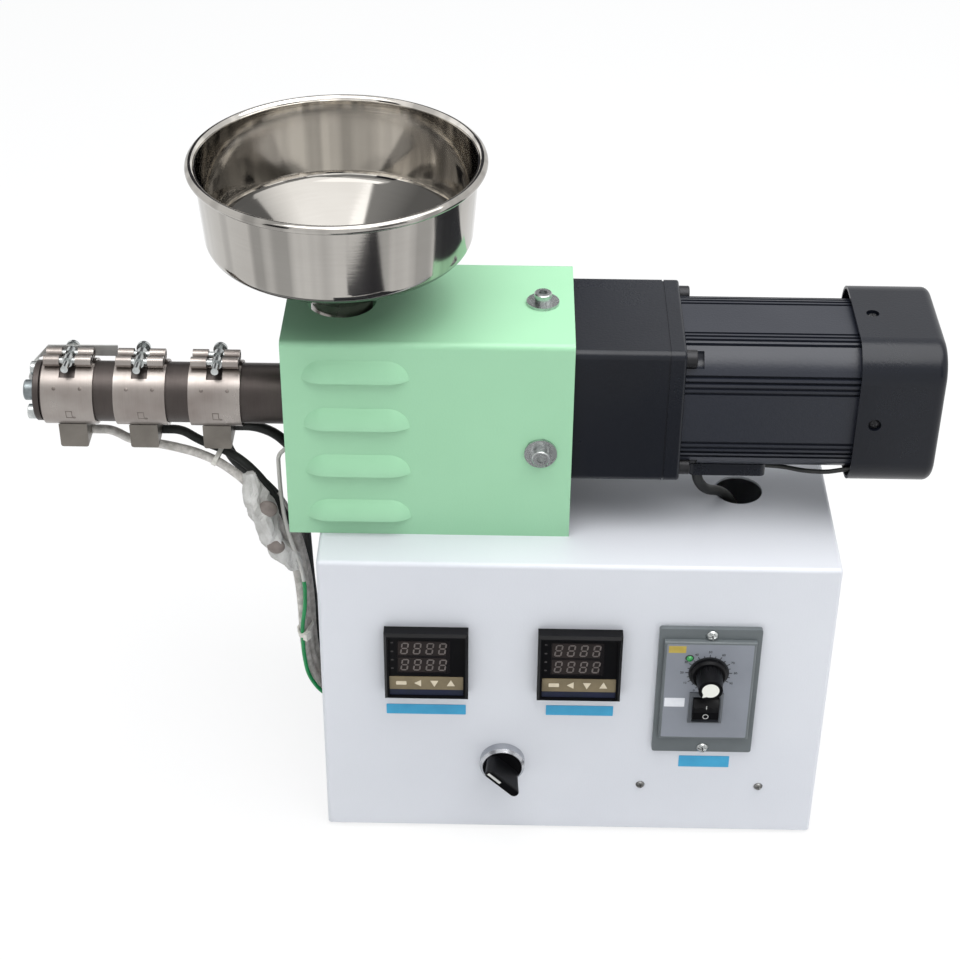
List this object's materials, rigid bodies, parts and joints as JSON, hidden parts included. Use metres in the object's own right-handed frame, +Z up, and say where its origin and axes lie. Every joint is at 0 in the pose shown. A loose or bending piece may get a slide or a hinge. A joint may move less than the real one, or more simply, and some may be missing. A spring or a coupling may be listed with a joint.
{
  "type": "plastic extruder",
  "caption": "Benchtop single-screw plastic extruder: heated barrel, feed hopper, guard and gear motor on a control box with dials and switches.",
  "frame": {"origin": "on the bench plane, under the centre of the base box", "axes": "+X along the barrel towards the motor, +Y away from the control panel, +Z up"},
  "size_m": [0.5101, 0.2019, 0.4135],
  "materials": {
    "white_powder": "satin white powder coat",
    "green_powder": "satin mint green powder coat",
    "slate_paint": "semi-gloss dark slate paint",
    "stainless": "polished stainless sheet",
    "turned_steel": "turned steel, heat-browned",
    "band_sheet": "warm grey sheet steel",
    "zinc": "zinc plated",
    "black_oxide": "black oxide steel",
    "machined": "machined steel",
    "black_plastic": "fine-grained black plastic",
    "grey_plate": "grey anodised plate",
    "satin_ring": "satin aluminium",
    "rubber_black": "matt black rubber",
    "glass_sleeve": "woven glass-fibre sleeve",
    "green_lead": "green insulation"
  },
  "bodies": {
    "frame": {"base_shell": "white_powder", "base_floor": "white_powder", "foot_fl": "rubber_black", "foot_fr": "rubber_black", "foot_bl": "rubber_black", "foot_br": "rubber_black", "mains_gland": "black_plastic", "guard_cover": "green_powder", "guard_bolt_top": "zinc", "guard_bolt_front": "zinc", "guard_bolt_back": "zinc", "motor_stand": "machined", "feed_block": "machined", "shaft_housing": "machined", "hopper": "stainless", "hopper_neck": "stainless", "barrel": "turned_steel", "end_plate": "turned_steel", "nozzle": "zinc", "end_bolt_1": "zinc", "end_bolt_2": "zinc", "gearbox": "slate_paint", "gearbox_flange": "slate_paint", "frame_bolt_back_top": "black_oxide", "frame_bolt_front_top": "black_oxide", "frame_bolt_front_bottom": "black_oxide", "frame_bolt_back_bottom": "black_oxide", "motor_body": "slate_paint", "end_shield": "slate_paint", "fan_cover": "slate_paint", "lead_cover": "slate_paint", "controller_left": "black_plastic", "controller_right": "black_plastic", "drive_unit": "grey_plate", "rocker_frame": "black_plastic", "selector_ring": "satin_ring", "sleeve_1": "glass_sleeve", "sleeve_2": "glass_sleeve", "black_sleeve": "rubber_black", "earth_lead": "green_lead", "dark_sheath": "rubber_black", "motor_cable": "rubber_black", "fan_lead": "rubber_black", "heater_band_1": "band_sheet", "clamp_screw_1": "zinc", "terminal_box_1": "band_sheet", "heater_band_2": "band_sheet", "clamp_screw_2": "zinc", "terminal_box_2": "band_sheet", "heater_band_3": "band_sheet", "clamp_screw_3": "zinc", "terminal_box_3": "band_sheet"},
    "knob": {"speed_knob": "black_plastic"},
    "rocker_key": {"rocker": "black_plastic"},
    "selector": {"selector_handle": "black_plastic"}
  },
  "joints": [
    {"name": "speed_turn", "type": "hinge", "parent": "frame", "child": "knob", "pos_m": [0.0761, -0.096, 0.1312], "axis": [0, 1, 0], "range_deg": [0, 300]},
    {"name": "rocker_tip", "type": "hinge", "parent": "frame", "child": "rocker_key", "pos_m": [0.076, -0.0938, 0.1052], "axis": [1, 0, 0], "range_deg": [-16, 0]},
    {"name": "selector_turn", "type": "hinge", "parent": "frame", "child": "selector", "pos_m": [-0.0409, -0.0935, 0.0559], "axis": [0, 1, 0], "range_deg": [0, 90]}
  ]
}
